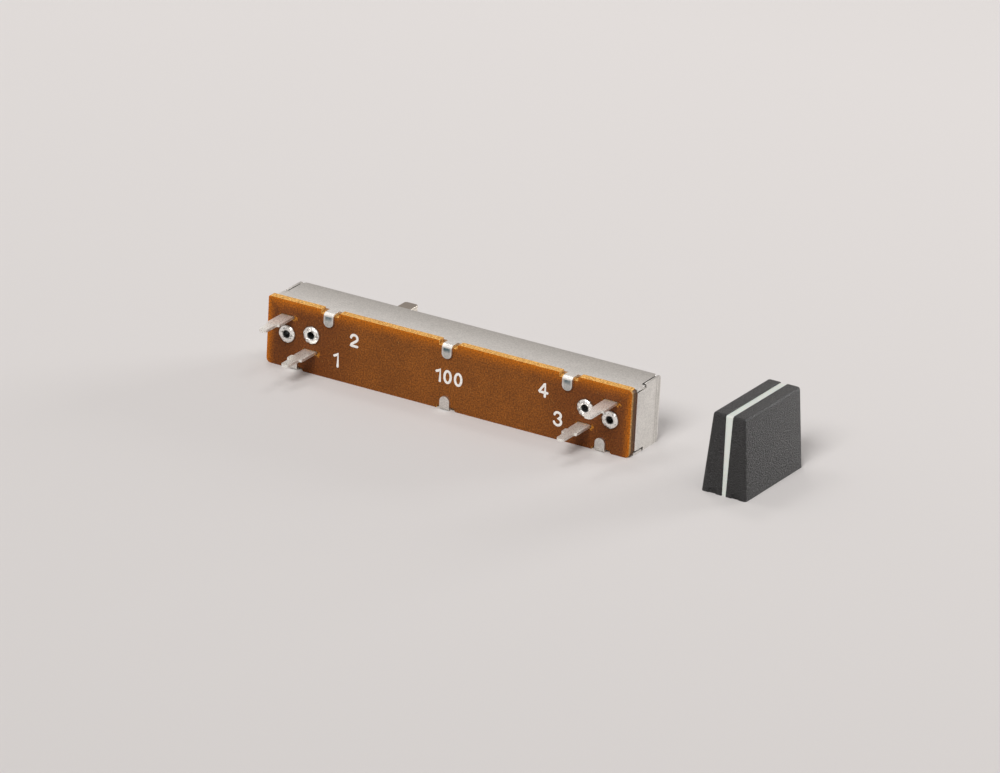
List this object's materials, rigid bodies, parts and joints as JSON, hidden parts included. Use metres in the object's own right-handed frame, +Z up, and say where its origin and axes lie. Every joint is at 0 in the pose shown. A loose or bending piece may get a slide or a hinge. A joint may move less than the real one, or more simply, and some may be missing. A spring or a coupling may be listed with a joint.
{
  "type": "slide potentiometer",
  "caption": "Straight slide potentiometer in a folded steel case with a phenolic terminal board, a flat steel lever and a separate black cap with a white line.",
  "frame": {"origin": "middle of the case's resting side, level with what it lies on", "axes": "+X along the travel, +Y out of the slot face as the lever points, +Z up from the resting side"},
  "size_m": [0.1018, 0.0344, 0.0151],
  "materials": {
    "plated_steel": "zinc plated sheet, dull with fine rolling marks",
    "phenolic": "brown phenolic laminate, slightly translucent at its sheared edges",
    "tinned_brass": "stamped, dull tin plating",
    "plated_brass": "bright plated eyelet, rolled over",
    "carbon_print": "screen printed carbon, matt black",
    "silver_print": "screen printed silver ink, matt",
    "lever_steel": "blanked strip, dull plating",
    "acetal": "natural acetal moulding",
    "nickel_silver": "bright spring strip",
    "spring_steel": "blued spring strip",
    "black_abs": "moulded black plastic with a fine grain",
    "white_abs": "smooth white insert"
  },
  "bodies": {
    "housing": {"case_shell": "plated_steel", "track_board": "phenolic", "carbon_track": "carbon_print", "collector_track": "silver_print", "silver_pad_1": "silver_print", "silver_pad_3": "silver_print", "terminal_1": "tinned_brass", "terminal_2": "tinned_brass", "terminal_3": "tinned_brass", "terminal_4": "tinned_brass", "eyelet_1": "plated_brass", "eyelet_2": "plated_brass", "eyelet_3": "plated_brass", "eyelet_4": "plated_brass", "knob_cap": "black_abs", "knob_line": "white_abs"},
    "slider": {"lever": "lever_steel", "slider_block": "acetal", "brush": "nickel_silver", "drag_spring": "spring_steel"}
  },
  "joints": [
    {"name": "slide", "type": "slide", "parent": "housing", "child": "slider", "axis": [1, 0, 0], "range_m": [-0.0071, 0.0529]}
  ]
}
